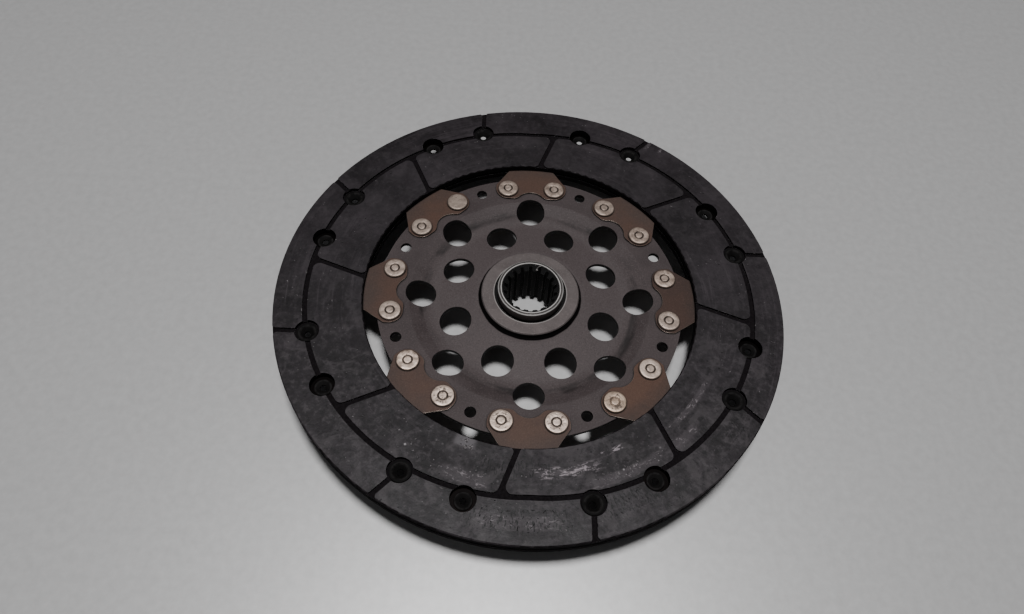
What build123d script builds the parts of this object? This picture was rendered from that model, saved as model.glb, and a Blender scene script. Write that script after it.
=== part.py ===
from build123d import *
import math
import os

os.makedirs("parts", exist_ok=True)

# Rigid clutch disc: splined hub, pressed carrier plate, eight waved cushion segments and two
# grooved friction facings, held together by two sets of rivets.
# Frame: the hub axis is Z, the hub's lower end face is at Z = 0, one segment is centred on +Y.

# ---- driving sizes (mm, degrees) ----
FACING_OD = 235.0               # both friction facings, outside
FACING_ID = 155.0               # both friction facings, inside
FACING_T = 3.2                  # one facing
SEGMENT_COUNT = 8               # cushion segments; holes and grooves repeat with them
SHEET_T = 0.7                   # spring sheet of a cushion segment
WAVE = 0.6                      # how much the wave of a segment parts the facings
PLATE_T = 2.0                   # carrier plate sheet
HUB_LENGTH = 27.0               # hub, end to end
HUB_PROUD = 2.8                 # hub end above the upper friction face
HUB_TUBE_OD = 30.6              # hub tube above the flange
HUB_FLANGE_OD = 45.8            # ring flange that carries the plate
SPLINE_TEETH = 18
SPLINE_MAJOR_D = 25.0
SPLINE_MINOR_D = 21.8

# ---- named clearances and edge breaks ----
RIVET_PLAY = 0.10               # hole diameter over rivet shank diameter
SEAT_PLAY = 0.15                # dished rivet head to its seat in the facing, on radius
EDGE = 0.5                      # worn chamfer on facing edges and on hub ends
PLATE_EDGE_GAP = 6.0            # plate rim to facing bore, on radius

# ---- heights, all tied to the friction face ----
FACE_Z = HUB_LENGTH - HUB_PROUD                 # upper friction face
GAP = SHEET_T + WAVE                            # space between the facings
UPPER_BACK_Z = FACE_Z - FACING_T                # back of the upper facing
LOWER_BACK_Z = UPPER_BACK_Z - GAP               # back of the lower facing
LOWER_FACE_Z = LOWER_BACK_Z - FACING_T          # lower friction face
MID_Z = (UPPER_BACK_Z + LOWER_BACK_Z) / 2       # middle of the segment sheet
FOOT_TOP_Z = MID_Z + SHEET_T / 2                # segment foot, upper side
PLATE_TOP_Z = MID_Z - SHEET_T / 2               # plate rim, upper side

# ---- radii tied to the facings and to the hub ----
FACING_RO = FACING_OD / 2
FACING_RI = FACING_ID / 2
FACING_BAND = FACING_RO - FACING_RI
PITCH = 360.0 / SEGMENT_COUNT
FACING_HOLE_R = FACING_RI + 0.63 * FACING_BAND  # ring of facing rivets
FACING_HOLE_A = 0.325 * PITCH                   # each side of a segment centre
FACING_HOLE_D = 11.0
PLATE_RO = FACING_RI - PLATE_EDGE_GAP
FOOT_RIVET_R = PLATE_RO - 6.1                   # ring of segment rivets
FOOT_RIVET_X = 11.76                            # each side of a segment centre line
FOOT_RIVET_Y = math.sqrt(FOOT_RIVET_R ** 2 - FOOT_RIVET_X ** 2)
FLANGE_R = HUB_FLANGE_OD / 2
TUBE_R = HUB_TUBE_OD / 2

# ---- facing: holes and grooves ----
SEAT_FLOOR = 1.2                # facing left under a rivet head
SEAT_TOP_R = 4.35               # dished seat at the counterbore floor
SEAT_BOTTOM_R = 2.75            # dished seat at the back of the facing
GROOVE_W = 2.3
GROOVE_DEPTH = 1.1
RING_GROOVE_R = FACING_RI + 0.5375 * FACING_BAND
RING_GROOVE_SHIFT_X = 4.4       # the ring groove is two half circles, moved apart sideways
RING_GROOVE_SHIFT_Y = 0.8
INNER_GROOVE_START = 4.3        # sideways from the segment centre line, at the bore
INNER_GROOVE_LEAN = 20.5        # degrees clockwise of the segment centre line
RIM_CORNER_R = 1.8              # rounded pad corners where an outer groove meets the rim
BORE_CORNER_R = 2.2             # the same where an inner groove meets the bore
RING_CORNER_R = 3.0             # the same where an inner groove meets the ring groove

# ---- facing rivet: hollow, dished head, flared tail ----
FACING_RIVET_SHANK_D = 5.0
FACING_RIVET_BORE_D = 2.9
FACING_RIVET_HEAD_D = 9.4
FACING_RIVET_HEAD_T = 0.7
FACING_RIVET_TAIL_D = 8.0
FACING_RIVET_TAIL_H = 1.0

# ---- segment rivet: solid, low round head ----
FOOT_RIVET_SHANK_D = 6.0
FOOT_RIVET_HEAD_D = 10.5
FOOT_RIVET_HEAD_H = 1.15
FOOT_RIVET_TAIL_D = 9.2
FOOT_RIVET_TAIL_H = 1.3
RING_MARK_R = 2.0               # ring left in the head by the rivet punch
RING_MARK_W = 0.8
RING_MARK_DEPTH = 0.35
PLAIN_HEAD = 4                  # the one segment rivet without a ring mark

# ---- cushion segment outline, local: X across, Y outwards along the centre line ----
TOE_RIM = 0.9                   # sheet left outside a rivet head, at the side
TOE_R = 6.3                     # outer round of a toe
TOE_X = FOOT_RIVET_X + FOOT_RIVET_HEAD_D / 2 + TOE_RIM - TOE_R
TOE_Y = FOOT_RIVET_Y + 0.4
HEEL_R = 4.1                    # inner round of a toe, level with the outer one below
HEEL_X = TOE_X - 2.7
HEEL_Y = TOE_Y - TOE_R + HEEL_R
NOTCH_Y = FOOT_RIVET_Y - 1.8    # top of the notch between the toes
SHOULDER_Y = FOOT_RIVET_Y + 2.6
NECK_X = 10.6
NECK_Y = FACING_RI + 0.5
PADDLE_RI = FACING_RI + 6.5
PADDLE_RO = FACING_RO - 3.0
PADDLE_A = 0.455 * PITCH        # half the angle that a paddle covers
CORNER_R = 3.0
WAVE_BENDS = (13.0, 17.0, 33.0, 36.0)   # across the paddle: rise, pad, pad, fall

# ---- carrier plate ----
PLATE_SEAT_Z = PLATE_TOP_Z - 0.1                # plate under the hub flange, upper side
PLATE_VALLEY_Z = PLATE_TOP_Z - 3.0              # lowest of the dished web, upper side
PLATE_STEP_Z = PLATE_TOP_Z - 2.2                # foot of the step inside the rim
PLATE_RIM_LAND = 8.9            # flat of the rim inside the ring of segment rivets
PLATE_STEP_W = 6.2              # across the step, on radius
PLATE_VALLEY_W = 6.5            # from the foot of the step to the lowest ring of the web
PLATE_STEP_OUT_R = FOOT_RIVET_R - PLATE_RIM_LAND
PLATE_STEP_IN_R = PLATE_STEP_OUT_R - PLATE_STEP_W
PLATE_VALLEY_R = PLATE_STEP_IN_R - PLATE_VALLEY_W
PLATE_CONE_R = FLANGE_R + 2.6
PLATE_BEND_R = 2.8              # bends at the hub seat and at both sides of the step
PLATE_VALLEY_BEND_R = 16.0      # the web turns gently at its lowest ring
OUTER_HOLE_INSET = 14.2         # outer lightening holes, inside the ring of segment rivets
OUTER_HOLE_R = FOOT_RIVET_R - OUTER_HOLE_INSET
OUTER_HOLE_D = 14.2
INNER_HOLE_OUTSET = 14.1        # inner lightening holes, outside the hub flange
INNER_HOLE_R = FLANGE_R + INNER_HOLE_OUTSET
INNER_HOLE_D = 14.8
RIM_HOLE_D = 5.2

# ---- hub ----
HUB_SEAT_R = TUBE_R + 3.2                       # shoulder inside the plate
FLANGE_TOP_Z = FACE_Z - 1.2
RELIEF_R = TUBE_R + 1.5                         # ring-shaped relief beside the tube
RELIEF_DEPTH = 2.4
COLLAR_R = HUB_SEAT_R + 2.4                     # collar rolled over under the plate
COLLAR_H = 2.0
LOWER_TUBE_R = TUBE_R + 0.7
BORE_MOUTH_R = SPLINE_MAJOR_D / 2 + 0.8         # lead-in chamfer of the bore
TOOTH_TIP_SHARE = 0.45                          # of the pitch at the minor diameter
SPACE_ROOT_SHARE = 0.38                         # of the pitch at the major diameter


def turned(points):
    """A solid of revolution about Z from (radius, height) points."""
    return revolve(Plane.XZ * make_face(Polyline(*points, close=True)), Axis.Z)


def strip(start, end, width):
    """A flat rectangle along the line from start to end, as a sketch."""
    dx = end[0] - start[0]
    dy = end[1] - start[1]
    length = math.hypot(dx, dy)
    middle = Pos((start[0] + end[0]) / 2, (start[1] + end[1]) / 2)
    return middle * Rot(0, 0, math.degrees(math.atan2(dy, dx))) * Rectangle(length, width)


def rounded_off(corner, along_groove, along_edge, out, radius):
    """What rounding takes off a pad corner, as a sketch; out points away from the pad's edge."""
    cx, cy = corner
    gx, gy = along_groove
    ex, ey = along_edge
    half = math.acos(gx * ex + gy * ey) / 2
    bx = (gx + ex) / (2 * math.cos(half))
    by = (gy + ey) / (2 * math.cos(half))
    reach = radius / math.tan(half)
    centre = radius / math.sin(half)
    on_groove = (cx + gx * reach, cy + gy * reach)
    on_edge = (cx + ex * reach, cy + ey * reach)
    nearest = (cx + bx * (centre - radius), cy + by * (centre - radius))
    step_x = out[0] * GROOVE_W / 2
    step_y = out[1] * GROOVE_W / 2
    edges = Curve()
    edges += ThreePointArc(on_groove, nearest, on_edge)
    edges += Line(on_edge, (on_edge[0] + step_x, on_edge[1] + step_y))
    edges += Line((on_edge[0] + step_x, on_edge[1] + step_y), (cx + step_x, cy + step_y))
    edges += Line((cx + step_x, cy + step_y), corner)
    edges += Line(corner, on_groove)
    return make_face(edges)


def meeting(point, direction, circle_r, circle_c):
    """Where a straight line from a point, in a direction, first leaves or reaches a circle."""
    px = point[0] - circle_c[0]
    py = point[1] - circle_c[1]
    along = px * direction[0] + py * direction[1]
    ahead = math.sqrt(along ** 2 - px ** 2 - py ** 2 + circle_r ** 2) - along
    return point[0] + direction[0] * ahead, point[1] + direction[1] * ahead


def mouth_corners(centre, direction, circle_r, circle_c, outward, radius):
    """Both rounded pad corners where a groove along a direction meets a circle."""
    corners = []
    for s in (-1, 1):
        side = (
            centre[0] + s * direction[1] * GROOVE_W / 2,
            centre[1] - s * direction[0] * GROOVE_W / 2,
        )
        corner = meeting(side, direction, circle_r, circle_c)
        nx = (corner[0] - circle_c[0]) / circle_r
        ny = (corner[1] - circle_c[1]) / circle_r
        away = (s * ny, -s * nx)
        inward = (-outward * direction[0], -outward * direction[1])
        out = (outward * nx, outward * ny)
        corners.append(rounded_off(corner, inward, away, out, radius))
    return corners


def facing_hole_xy(side):
    """Centre of a facing rivet in the frame of its segment; side is -1 or +1 along X."""
    a = math.radians(FACING_HOLE_A)
    return side * FACING_HOLE_R * math.sin(a), FACING_HOLE_R * math.cos(a)


# ---- friction facing ----

def ring_groove():
    """Two half rings moved apart sideways, so that the groove is a little wider than high."""
    outer = Circle(RING_GROOVE_R + GROOVE_W / 2)
    inner = Circle(RING_GROOVE_R - GROOVE_W / 2)
    ring = outer - inner
    half = Rectangle(FACING_OD, 2 * FACING_OD)
    right = Pos(RING_GROOVE_SHIFT_X, RING_GROOVE_SHIFT_Y) * ring
    left = Pos(-RING_GROOVE_SHIFT_X, RING_GROOVE_SHIFT_Y) * ring
    right = right & (Pos(FACING_OD / 2, 0) * half)
    left = left & (Pos(-FACING_OD / 2, 0) * half)
    return right + left


def outer_groove():
    """The groove from one facing rivet to the rim, along the segment."""
    hole = facing_hole_xy(-1)
    rim_y = math.sqrt(FACING_RO ** 2 - hole[0] ** 2)
    grooves = strip(hole, (hole[0], rim_y + GROOVE_W), GROOVE_W)
    for corner in mouth_corners(hole, (0, 1), FACING_RO, (0, 0), 1, RIM_CORNER_R):
        grooves += corner
    return grooves


def inner_groove(k):
    """The leaning groove of segment k, from the bore to the ring groove."""
    turn = math.radians(k * PITCH)
    lean = math.radians(k * PITCH - INNER_GROOVE_LEAN)
    direction = (-math.sin(lean), math.cos(lean))
    back = (math.sin(lean), -math.cos(lean))
    start_y = math.sqrt(FACING_RI ** 2 - INNER_GROOVE_START ** 2)
    start = (
        INNER_GROOVE_START * math.cos(turn) - start_y * math.sin(turn),
        INNER_GROOVE_START * math.sin(turn) + start_y * math.cos(turn),
    )
    ring_c = (math.copysign(RING_GROOVE_SHIFT_X, start[0]), RING_GROOVE_SHIFT_Y)
    end = meeting(start, direction, RING_GROOVE_R, ring_c)
    before = (start[0] + back[0] * GROOVE_W, start[1] + back[1] * GROOVE_W)
    groove = strip(before, end, GROOVE_W)
    ring_inside = RING_GROOVE_R - GROOVE_W / 2
    for corner in mouth_corners(start, direction, ring_inside, ring_c, 1, RING_CORNER_R):
        groove += corner
    for corner in mouth_corners(start, direction, FACING_RI, (0, 0), -1, BORE_CORNER_R):
        groove += corner
    return groove


def facing():
    """One moulded facing, friction face up at FACE_Z; its own rivets are on the -X side."""
    body = turned([
        (FACING_RI, UPPER_BACK_Z),
        (FACING_RO, UPPER_BACK_Z),
        (FACING_RO, FACE_Z - EDGE),
        (FACING_RO - EDGE, FACE_Z),
        (FACING_RI + EDGE, FACE_Z),
        (FACING_RI, FACE_Z - EDGE),
    ])
    seat_z = UPPER_BACK_Z + SEAT_FLOOR
    seat = turned([
        (0, UPPER_BACK_Z - 1),
        (SEAT_BOTTOM_R, UPPER_BACK_Z - 1),
        (SEAT_BOTTOM_R, UPPER_BACK_Z),
        (SEAT_TOP_R, seat_z),
        (FACING_HOLE_D / 2, seat_z),
        (FACING_HOLE_D / 2, FACE_Z + 1),
        (0, FACE_Z + 1),
    ])
    access = Pos(0, 0, UPPER_BACK_Z - 1) * extrude(Circle(FACING_HOLE_D / 2), FACING_T + 2)
    grooves = ring_groove()
    cutters = []
    for k in range(SEGMENT_COUNT):
        turn = Rot(0, 0, k * PITCH)
        cutters.append(turn * Pos(*facing_hole_xy(-1), 0) * seat)
        cutters.append(turn * Pos(*facing_hole_xy(1), 0) * access)
        grooves += turn * outer_groove()
        grooves += inner_groove(k)
    body -= cutters
    body -= Pos(0, 0, FACE_Z - GROOVE_DEPTH) * extrude(grooves, GROOVE_DEPTH + 1)
    return body


# ---- cushion segment ----

def segment_outline():
    """Plan of one segment: foot with two toes, neck, and the paddle between the facings."""
    gap = HEEL_Y - NOTCH_Y
    notch_r = (HEEL_X ** 2 + gap ** 2 - HEEL_R ** 2) / (2 * (HEEL_R - gap))
    notch_c = NOTCH_Y - notch_r
    meet = notch_r / (notch_r + HEEL_R)
    meet_x = HEEL_X * meet
    meet_y = notch_c + (HEEL_Y - notch_c) * meet
    sole_y = HEEL_Y - HEEL_R
    toe_x = TOE_X + TOE_R
    a = math.radians(PADDLE_A)
    inner_x = PADDLE_RI * math.sin(a)
    inner_y = PADDLE_RI * math.cos(a)
    outer_x = PADDLE_RO * math.sin(a)
    outer_y = PADDLE_RO * math.cos(a)
    throat_y = math.sqrt(PADDLE_RI ** 2 - (NECK_X + CORNER_R) ** 2)
    edges = Curve()
    edges += ThreePointArc((-meet_x, meet_y), (0, NOTCH_Y), (meet_x, meet_y))
    edges += ThreePointArc(
        (0 - PADDLE_RO * math.sin(a), outer_y), (0, PADDLE_RO), (outer_x, outer_y)
    )
    for s in (-1, 1):
        heel = math.atan2(meet_x - HEEL_X, HEEL_Y - meet_y) / 2
        heel_mid = (s * (HEEL_X + HEEL_R * math.sin(heel)), HEEL_Y - HEEL_R * math.cos(heel))
        toe_mid = (s * (TOE_X + TOE_R * math.sqrt(0.5)), TOE_Y - TOE_R * math.sqrt(0.5))
        edges += ThreePointArc((s * meet_x, meet_y), heel_mid, (s * HEEL_X, sole_y))
        edges += Line((s * HEEL_X, sole_y), (s * TOE_X, sole_y))
        edges += ThreePointArc((s * TOE_X, sole_y), toe_mid, (s * toe_x, TOE_Y))
        edges += Line((s * toe_x, TOE_Y), (s * toe_x, SHOULDER_Y))
        edges += Line((s * toe_x, SHOULDER_Y), (s * NECK_X, NECK_Y))
        edges += Line((s * NECK_X, NECK_Y), (s * (NECK_X + CORNER_R), throat_y))
        mid = math.atan2(NECK_X + CORNER_R, throat_y) / 2 + a / 2
        through = (s * PADDLE_RI * math.sin(mid), PADDLE_RI * math.cos(mid))
        edges += ThreePointArc(
            (s * (NECK_X + CORNER_R), throat_y), through, (s * inner_x, inner_y)
        )
        edges += Line((s * inner_x, inner_y), (s * outer_x, outer_y))
    return make_face(edges)


def cushion_segment():
    """One segment of spring sheet; the -X pad is bent up and the +X pad is bent down."""
    rise_in, pad_in, pad_out, fall_out = WAVE_BENDS
    end_x = PADDLE_RO * math.sin(math.radians(PADDLE_A)) + 1
    half = WAVE / 2
    line = [
        (-end_x, 0),
        (-fall_out, 0),
        (-pad_out, half),
        (-pad_in, half),
        (-rise_in, 0),
        (rise_in, 0),
        (pad_in, -half),
        (pad_out, -half),
        (fall_out, 0),
        (end_x, 0),
    ]
    top = [(x, MID_Z + z + SHEET_T / 2) for x, z in line]
    bottom = [(x, MID_Z + z - SHEET_T / 2) for x, z in reversed(line)]
    section = Plane.XZ * make_face(Polyline(*top, *bottom, close=True))
    paddle = Pos(0, NECK_Y, 0) * extrude(section, NECK_Y - PADDLE_RO - 1)
    foot = Pos(0, NECK_Y / 2, MID_Z) * Box(2 * end_x, NECK_Y, SHEET_T)
    prism = Pos(0, 0, MID_Z - GAP) * extrude(segment_outline(), 2 * GAP)
    body = (paddle & prism) + (foot & prism)
    foot_hole = extrude(Circle((FOOT_RIVET_SHANK_D + RIVET_PLAY) / 2), 4 * GAP)
    pad_hole = extrude(Circle((FACING_RIVET_SHANK_D + RIVET_PLAY) / 2), 4 * GAP)
    for s in (-1, 1):
        body -= Pos(s * FOOT_RIVET_X, FOOT_RIVET_Y, MID_Z - 2 * GAP) * foot_hole
        body -= Pos(*facing_hole_xy(s), MID_Z - 2 * GAP) * pad_hole
    return body


# ---- carrier plate ----

def carrier_plate():
    """Pressed plate: flat rim, step, dished web, flat seat at the hub; three rings of holes."""
    line = [
        (HUB_SEAT_R, PLATE_SEAT_Z),
        (PLATE_CONE_R, PLATE_SEAT_Z),
        (PLATE_VALLEY_R, PLATE_VALLEY_Z),
        (PLATE_STEP_IN_R, PLATE_STEP_Z),
        (PLATE_STEP_OUT_R, PLATE_TOP_Z),
        (PLATE_RO, PLATE_TOP_Z),
    ]
    below = [(r, z - PLATE_T) for r, z in line]
    bends = [PLATE_BEND_R, PLATE_VALLEY_BEND_R, PLATE_BEND_R, PLATE_BEND_R]
    top = FilletPolyline(*line, radius=bends)
    bottom = FilletPolyline(*below, radius=bends)
    inner = Line(line[0], below[0])
    outer = Line(line[-1], below[-1])
    body = revolve(Plane.XZ * make_face(top + bottom + inner + outer), Axis.Z)
    depth = PLATE_T + PLATE_TOP_Z - PLATE_VALLEY_Z + 2
    base = PLATE_VALLEY_Z - PLATE_T - 1
    cutters = []
    for k in range(SEGMENT_COUNT):
        on_segment = Rot(0, 0, k * PITCH)
        between = Rot(0, 0, (k + 0.5) * PITCH)
        cutters.append(on_segment * Pos(0, OUTER_HOLE_R, base) * extrude(Circle(OUTER_HOLE_D / 2), depth))
        cutters.append(between * Pos(0, INNER_HOLE_R, base) * extrude(Circle(INNER_HOLE_D / 2), depth))
        cutters.append(between * Pos(0, FOOT_RIVET_R, base) * extrude(Circle(RIM_HOLE_D / 2), depth))
        shank = extrude(Circle((FOOT_RIVET_SHANK_D + RIVET_PLAY) / 2), depth)
        for s in (-1, 1):
            cutters.append(on_segment * Pos(s * FOOT_RIVET_X, FOOT_RIVET_Y, base) * shank)
    return body - cutters


# ---- hub ----

def spline_bore(length):
    """The space inside the splined bore: a round core and one space between each two teeth."""
    tip_r = SPLINE_MINOR_D / 2
    root_r = SPLINE_MAJOR_D / 2
    step = 2 * math.pi / SPLINE_TEETH
    wide = tip_r * step * (1 - TOOTH_TIP_SHARE) / 2
    narrow = root_r * step * SPACE_ROOT_SHARE / 2
    core = Circle(tip_r)
    space = make_face(Polyline(
        (-wide, tip_r - 0.4),
        (-wide, math.sqrt(tip_r ** 2 - wide ** 2)),
        (-narrow, root_r),
        (narrow, root_r),
        (wide, math.sqrt(tip_r ** 2 - wide ** 2)),
        (wide, tip_r - 0.4),
        close=True,
    ))
    for k in range(SPLINE_TEETH):
        core += Rot(0, 0, k * 360.0 / SPLINE_TEETH) * space
    return extrude(core, length)


def hub():
    """Forged hub: tube, ring flange above the plate, shoulder, rolled collar, lower tube."""
    seat_top = PLATE_SEAT_Z
    seat_low = seat_top - PLATE_T
    body = turned([
        (0, 0),
        (LOWER_TUBE_R - 2 * EDGE, 0),
        (LOWER_TUBE_R, 2 * EDGE),
        (LOWER_TUBE_R, seat_low - COLLAR_H - EDGE),
        (LOWER_TUBE_R + EDGE, seat_low - COLLAR_H),
        (COLLAR_R - 2 * EDGE, seat_low - COLLAR_H),
        (COLLAR_R, seat_low - COLLAR_H + 2 * EDGE),
        (COLLAR_R, seat_low),
        (HUB_SEAT_R, seat_low),
        (HUB_SEAT_R, seat_top),
        (FLANGE_R, seat_top),
        (FLANGE_R, FLANGE_TOP_Z - EDGE),
        (FLANGE_R - EDGE, FLANGE_TOP_Z),
        (RELIEF_R, FLANGE_TOP_Z),
        (RELIEF_R, FLANGE_TOP_Z - RELIEF_DEPTH),
        (TUBE_R, FLANGE_TOP_Z - RELIEF_DEPTH),
        (TUBE_R, HUB_LENGTH - EDGE),
        (TUBE_R - EDGE, HUB_LENGTH),
        (0, HUB_LENGTH),
    ])
    bore = Pos(0, 0, -1) * spline_bore(HUB_LENGTH + 2)
    mouth_depth = BORE_MOUTH_R - SPLINE_MINOR_D / 2 + 0.2
    mouth_low = BORE_MOUTH_R - mouth_depth
    lead_in = turned([
        (0, HUB_LENGTH - mouth_depth),
        (mouth_low, HUB_LENGTH - mouth_depth),
        (BORE_MOUTH_R, HUB_LENGTH),
        (BORE_MOUTH_R, HUB_LENGTH + 1),
        (0, HUB_LENGTH + 1),
    ])
    lead_out = turned([
        (0, -1),
        (BORE_MOUTH_R, -1),
        (BORE_MOUTH_R, 0),
        (mouth_low, mouth_depth),
        (0, mouth_depth),
    ])
    return body - [bore, lead_in, lead_out]


# ---- rivets ----

def segment_rivet(marked):
    """Solid rivet through a segment foot and the plate rim, head up."""
    top = FOOT_TOP_Z + FOOT_RIVET_HEAD_H
    head_r = FOOT_RIVET_HEAD_D / 2
    tail_r = FOOT_RIVET_TAIL_D / 2
    shank_r = FOOT_RIVET_SHANK_D / 2
    plate_low = PLATE_TOP_Z - PLATE_T
    low = plate_low - FOOT_RIVET_TAIL_H
    crown = [(0, top)]
    if marked:
        inner = RING_MARK_R - RING_MARK_W / 2
        outer = RING_MARK_R + RING_MARK_W / 2
        crown += [(inner, top), (RING_MARK_R, top - RING_MARK_DEPTH), (outer, top)]
    return turned([
        (0, low),
        (tail_r - 0.9, low),
        (tail_r, low + 0.6),
        (tail_r, plate_low),
        (shank_r, plate_low),
        (shank_r, FOOT_TOP_Z),
        (head_r - 0.1, FOOT_TOP_Z),
        (head_r, FOOT_TOP_Z + 0.35),
        (head_r - 0.15, FOOT_TOP_Z + 0.75),
        (head_r - 0.7, top - 0.12),
        (head_r - 1.6, top),
        *reversed(crown),
    ])


def facing_rivet():
    """Hollow rivet of the upper facing: dished head in the counterbore, flared tail below."""
    seat_z = UPPER_BACK_Z + SEAT_FLOOR
    head_top = seat_z + FACING_RIVET_HEAD_T
    head_r = FACING_RIVET_HEAD_D / 2
    shank_r = FACING_RIVET_SHANK_D / 2
    bore_r = FACING_RIVET_BORE_D / 2
    tail_r = FACING_RIVET_TAIL_D / 2
    tail_top = UPPER_BACK_Z - SHEET_T
    tail_low = tail_top - FACING_RIVET_TAIL_H
    return turned([
        (bore_r, UPPER_BACK_Z),
        (head_r - 1.2, head_top),
        (head_r - 0.15, head_top),
        (head_r, head_top - 0.15),
        (head_r, seat_z),
        (SEAT_TOP_R - SEAT_PLAY, seat_z),
        (shank_r, UPPER_BACK_Z),
        (shank_r, tail_top),
        (tail_r, tail_top),
        (tail_r, tail_top - 0.4),
        (tail_r - 0.4, tail_low),
        (tail_r - 0.7, tail_low),
        (bore_r, tail_top - 0.1),
    ])


# ---- the pieces in their places, one file each ----

def save(piece, node):
    export_step(piece, "parts/" + node + ".step")


turned_over = Pos(0, 0, 2 * MID_Z) * Rot(0, 180, 0)

save(hub(), "hub")
save(carrier_plate(), "carrier_plate")

upper = facing()
save(upper, "facing_gearbox_side")
save(turned_over * upper, "facing_flywheel_side")

segment = cushion_segment()
marked_rivet = segment_rivet(True)
plain_rivet = segment_rivet(False)
hollow_rivet = facing_rivet()

for k in range(SEGMENT_COUNT):
    turn = Rot(0, 0, k * PITCH)
    save(turn * segment, f"cushion_segment_{k + 1}")
    for i, s in enumerate((-1, 1)):
        number = 2 * k + i + 1
        foot = plain_rivet if number == PLAIN_HEAD else marked_rivet
        save(turn * Pos(s * FOOT_RIVET_X, FOOT_RIVET_Y, 0) * foot, f"segment_rivet_{number:02d}")
        hollow = hollow_rivet if s < 0 else turned_over * hollow_rivet
        save(turn * Pos(*facing_hole_xy(s), 0) * hollow, f"facing_rivet_{number:02d}")
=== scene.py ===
import math
import random

import bmesh
import bpy
from mathutils import Matrix, Vector


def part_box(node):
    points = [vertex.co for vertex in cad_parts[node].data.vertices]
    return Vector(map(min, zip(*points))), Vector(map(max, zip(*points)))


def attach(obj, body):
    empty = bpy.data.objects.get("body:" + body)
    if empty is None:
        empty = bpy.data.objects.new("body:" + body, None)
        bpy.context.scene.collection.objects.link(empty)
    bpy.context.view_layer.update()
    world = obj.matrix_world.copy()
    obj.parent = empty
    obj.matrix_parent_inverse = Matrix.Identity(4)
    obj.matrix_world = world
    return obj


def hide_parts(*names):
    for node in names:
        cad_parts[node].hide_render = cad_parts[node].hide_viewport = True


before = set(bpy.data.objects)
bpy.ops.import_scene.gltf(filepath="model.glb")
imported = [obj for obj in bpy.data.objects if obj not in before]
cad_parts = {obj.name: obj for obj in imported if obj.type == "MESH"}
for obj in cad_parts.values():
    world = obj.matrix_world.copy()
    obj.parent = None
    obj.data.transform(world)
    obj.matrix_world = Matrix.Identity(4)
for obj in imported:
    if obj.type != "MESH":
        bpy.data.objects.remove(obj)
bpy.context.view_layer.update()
MM = 0.001

# ---- camera ----
# A hand-held view from in front of the disc, looking down at it at about 58 degrees.
SENSOR_WIDTH = 36.0  # mm
FOCAL_LENGTH = 26.5175  # mm
CAMERA_PLACE = Vector((-16.49, -193.19, 317.11)) * MM
CAMERA_RIGHT = Vector((0.998971, 0.020628, 0.040515))
CAMERA_UP = Vector((-0.039000, 0.846829, 0.530440))

camera_data = bpy.data.cameras.new("camera")
camera_data.sensor_width = SENSOR_WIDTH
camera_data.lens = FOCAL_LENGTH
camera = bpy.data.objects.new("camera", camera_data)
bpy.context.scene.collection.objects.link(camera)
camera_turn = Matrix((CAMERA_RIGHT, CAMERA_UP, CAMERA_RIGHT.cross(CAMERA_UP))).transposed()
camera.matrix_world = Matrix.Translation(CAMERA_PLACE) @ camera_turn.to_4x4()
bpy.context.scene.camera = camera


# ---- hub ----
# One steel forging with a ring flange above the plate, turned on its end faces and broached with
# straight splines. The plate is held between the flange and a collar rolled over below it.
SHARP = 35.0  # degrees; edges sharper than this are rounded
HUB_EDGE = 0.25 * MM
HUB_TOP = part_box("hub")[1].z
FLANGE_TOP = HUB_TOP - 4.0 * MM
COVERED_LOW = 18.0 * MM  # the plate covers the forging from here up to the flange
HUB_TUBE_R = 15.3 * MM
BORE_MOUTH_R = 13.3 * MM
RELIEF_R = 16.8 * MM
BURR_R = 0.26 * MM
BURR = (  # centre line of a sliver at the bore's edge, mm
    (5.3, 12.1, 27.0), (4.4, 12.0, 27.2), (3.7, 11.9, 27.0),
    (3.0, 11.5, 25.9), (2.5, 11.1, 25.2), (3.3, 10.9, 25.6),
)
FACE_SLOT, EDGE_SLOT, SUNK_SLOT = range(3)  # materials of a worn copy
FORGING_DARK = (0.088, 0.073, 0.072)
FORGING_LIGHT = (0.122, 0.103, 0.101)
FORGING_GLINT = (0.19, 0.165, 0.16)
TURNED_DARK = (0.040, 0.035, 0.034)
TURNED_LIGHT = (0.070, 0.062, 0.060)
RELIEF_LIP = (0.34, 0.32, 0.31)
BARE_STEEL = (0.66, 0.64, 0.62)
HUB_OIL_AND_SHADE = (0.0022, 0.0020, 0.0021)
HUB_EDGE_DULL = (0.11, 0.10, 0.098)
HUB_EDGE_BRIGHT = (0.40, 0.38, 0.37)


def link(piece):
    """Puts a new piece into the scene."""
    bpy.context.scene.collection.objects.link(piece)
    return piece


def shown_mesh(piece):
    """What a piece looks like with its modifiers, as a new mesh."""
    shown = piece.evaluated_get(bpy.context.evaluated_depsgraph_get())
    return bpy.data.meshes.new_from_object(shown)


def settle(piece):
    """Turns a piece with its modifiers into a plain mesh that stands for itself."""
    mesh = shown_mesh(piece)
    piece.modifiers.clear()
    piece.data = mesh
    return piece


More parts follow.
